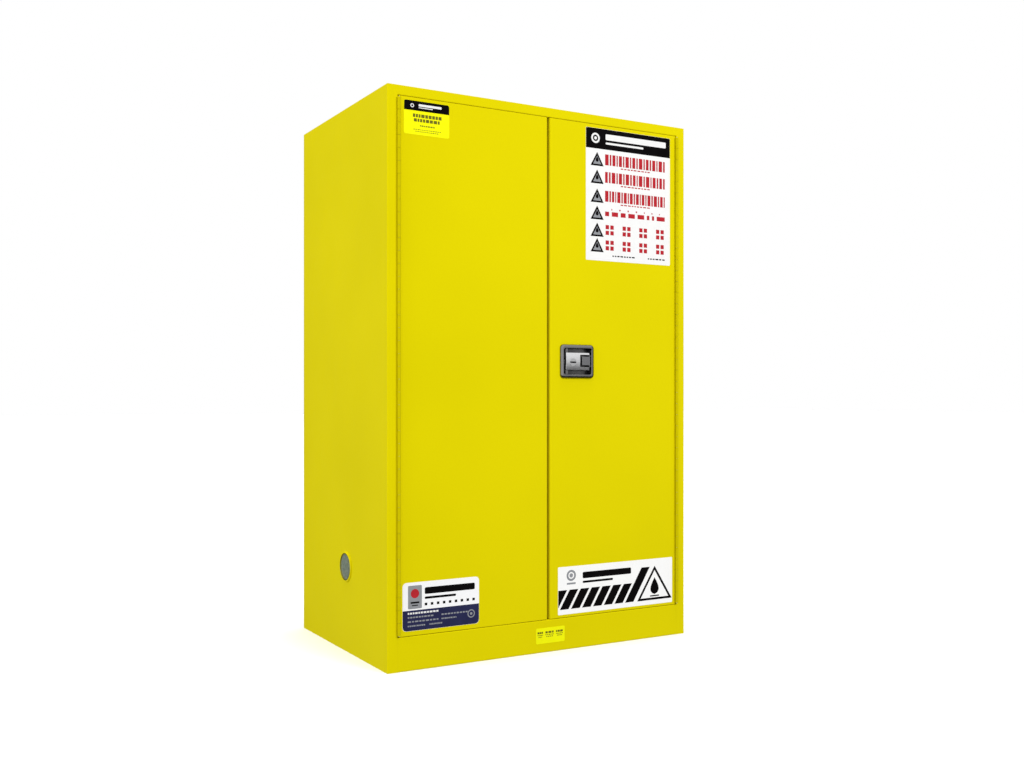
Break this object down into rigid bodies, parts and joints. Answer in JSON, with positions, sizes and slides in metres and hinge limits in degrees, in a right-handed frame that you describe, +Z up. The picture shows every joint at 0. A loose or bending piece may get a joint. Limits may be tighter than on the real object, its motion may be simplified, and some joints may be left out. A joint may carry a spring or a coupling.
{
  "type": "flammable liquid storage cabinet",
  "caption": "Double-walled steel floor cabinet with inset doors on piano hinges, a recessed locking paddle handle, side vents, a sump and tray shelves, for flammable liquids.",
  "frame": {"origin": "on the floor, under the middle of the bounding box", "axes": "+X to the right seen from the front, +Y to the back, +Z up; the doors face -Y"},
  "size_m": [1.059, 0.7102, 1.65],
  "materials": {
    "yellow_shell": "yellow powder coat with a fine orange peel",
    "yellow_liner": "yellow powder coat, slightly duller inside",
    "zinc_steel": "bright zinc plate",
    "galvanised": "galvanised sheet with faint spangle",
    "handle_dark": "gunmetal plate on a cast body",
    "paddle_silver": "satin nickel plate",
    "lock_nickel": "nickel plate",
    "vent_iron": "yellow powder coat on a cast collar",
    "vent_mesh": "dull grey perforated steel",
    "flap_grey": "dark satin nickel plate",
    "brass_bolt": "plain brass",
    "label_hazard": "printed vinyl, mostly white with a black band",
    "label_caution": "printed vinyl, yellow with a black band",
    "label_info": "printed vinyl, white over navy",
    "label_banner": "printed vinyl, white with black stripes",
    "label_sill": "printed vinyl, yellow"
  },
  "bodies": {
    "cabinet": {"side_shell_left": "yellow_shell", "side_shell_right": "yellow_shell", "back_panel": "yellow_shell", "top_panel": "yellow_shell", "bottom_panel": "yellow_shell", "front_header": "yellow_shell", "front_sill": "yellow_shell", "liner_left": "yellow_liner", "liner_right": "yellow_liner", "liner_back": "yellow_liner", "liner_top": "yellow_liner", "sump_pan": "yellow_liner", "vent_collar_left": "vent_iron", "vent_collar_right": "vent_iron", "vent_screens": "vent_mesh", "vent_lock_rings": "zinc_steel", "shelf_standard_front_left": "galvanised", "shelf_standard_front_right": "galvanised", "shelf_standard_rear_left": "galvanised", "shelf_standard_rear_right": "galvanised", "shelf_clips": "zinc_steel", "hinge_frame_leaf_left": "yellow_shell", "hinge_frame_leaf_right": "yellow_shell", "hinge_pins": "zinc_steel", "strike_plates": "zinc_steel", "ground_bolt": "brass_bolt", "foot_mount_plates": "zinc_steel", "sill_label": "label_sill"},
    "door_left": {"door_left_outer_pan": "yellow_shell", "door_left_inner_pan": "yellow_liner", "hinge_door_leaf_left": "yellow_shell", "astragal_strip": "yellow_shell", "caution_label": "label_caution", "info_label": "label_info", "passive_bolt_guides": "zinc_steel"},
    "door_right": {"door_right_outer_pan": "yellow_shell", "door_right_inner_pan": "yellow_liner", "hinge_door_leaf_right": "yellow_shell", "hazard_label": "label_hazard", "banner_label": "label_banner", "handle_housing": "handle_dark", "latch_base_plate": "zinc_steel", "latch_rod_guides": "zinc_steel", "latch_cover_plate": "yellow_liner", "handle_pins": "lock_nickel"},
    "passive_bolt_top": {"passive_bolt_top": "zinc_steel"},
    "passive_bolt_bottom": {"passive_bolt_bottom": "zinc_steel"},
    "paddle": {"paddle": "paddle_silver"},
    "finger_flap": {"finger_flap": "flap_grey"},
    "lock_cylinder": {"lock_cylinder": "lock_nickel"},
    "latch_cam": {"latch_cam": "zinc_steel"},
    "centre_bolt": {"centre_bolt": "zinc_steel"},
    "latch_rod_upper": {"latch_rod_upper": "zinc_steel"},
    "latch_rod_lower": {"latch_rod_lower": "zinc_steel"},
    "shelf_upper": {"shelf_upper": "galvanised"},
    "shelf_lower": {"shelf_lower": "galvanised"},
    "levelling_foot_front_left": {"levelling_foot_front_left": "zinc_steel"},
    "levelling_foot_front_right": {"levelling_foot_front_right": "zinc_steel"},
    "levelling_foot_rear_left": {"levelling_foot_rear_left": "zinc_steel"},
    "levelling_foot_rear_right": {"levelling_foot_rear_right": "zinc_steel"}
  },
  "joints": [
    {"name": "door_left_hinge", "type": "hinge", "parent": "cabinet", "child": "door_left", "pos_m": [-0.4915, -0.3501, 0.859], "axis": [0, 0, -1], "range_deg": [0, 180]},
    {"name": "door_right_hinge", "type": "hinge", "parent": "cabinet", "child": "door_right", "pos_m": [0.4915, -0.3501, 0.859], "axis": [0, 0, 1], "range_deg": [0, 180]},
    {"name": "paddle_pull", "type": "hinge", "parent": "door_right", "child": "paddle", "pos_m": [0.069, -0.3419, 0.882], "axis": [0, 0, -1], "range_deg": [0, 25], "stiffness_Nm_per_rad": 1.5, "springref_deg": -22.92},
    {"name": "finger_flap_push", "type": "hinge", "parent": "door_right", "child": "finger_flap", "pos_m": [0.1533, -0.3455, 0.884], "axis": [0, 0, -1], "range_deg": [0, 25], "stiffness_Nm_per_rad": 0.06, "springref_deg": -28.65},
    {"name": "key_turn", "type": "hinge", "parent": "paddle", "child": "lock_cylinder", "pos_m": [0.0895, -0.3449, 0.8795], "axis": [0, 1, 0], "range_deg": [0, 90]},
    {"name": "cam_turn", "type": "hinge", "parent": "door_right", "child": "latch_cam", "pos_m": [0.109, -0.3184, 0.867], "axis": [0, 1, 0], "range_deg": [0, 30]},
    {"name": "centre_bolt_slide", "type": "slide", "parent": "door_right", "child": "centre_bolt", "axis": [1, 0, 0], "range_m": [0, 0.00804]},
    {"name": "upper_rod_slide", "type": "slide", "parent": "door_right", "child": "latch_rod_upper", "axis": [0, 0, -1], "range_m": [0, 0.01035]},
    {"name": "lower_rod_slide", "type": "slide", "parent": "door_right", "child": "latch_rod_lower", "axis": [0, 0, 1], "range_m": [0, 0.01035]},
    {"name": "passive_top_slide", "type": "slide", "parent": "door_left", "child": "passive_bolt_top", "axis": [0, 0, 1], "range_m": [0, 0.012]},
    {"name": "passive_bottom_slide", "type": "slide", "parent": "door_left", "child": "passive_bolt_bottom", "axis": [0, 0, -1], "range_m": [0, 0.012]},
    {"name": "shelf_upper_lift", "type": "slide", "parent": "cabinet", "child": "shelf_upper", "axis": [0, 0, 1], "range_m": [0, 0.12]},
    {"name": "shelf_lower_lift", "type": "slide", "parent": "cabinet", "child": "shelf_lower", "axis": [0, 0, 1], "range_m": [0, 0.12]},
    {"name": "foot_front_left_screw", "type": "slide", "parent": "cabinet", "child": "levelling_foot_front_left", "axis": [0, 0, -1], "range_m": [0, 0.018]},
    {"name": "foot_front_right_screw", "type": "slide", "parent": "cabinet", "child": "levelling_foot_front_right", "axis": [0, 0, -1], "range_m": [0, 0.018]},
    {"name": "foot_rear_left_screw", "type": "slide", "parent": "cabinet", "child": "levelling_foot_rear_left", "axis": [0, 0, -1], "range_m": [0, 0.018]},
    {"name": "foot_rear_right_screw", "type": "slide", "parent": "cabinet", "child": "levelling_foot_rear_right", "axis": [0, 0, -1], "range_m": [0, 0.018]}
  ],
  "couplings": [
    {"joint": "cam_turn", "follows": "paddle_pull", "ratio": 1.2},
    {"joint": "centre_bolt_slide", "follows": "paddle_pull", "m_per_rad": 0.018422},
    {"joint": "upper_rod_slide", "follows": "paddle_pull", "m_per_rad": 0.023726},
    {"joint": "lower_rod_slide", "follows": "paddle_pull", "m_per_rad": 0.023726}
  ]
}
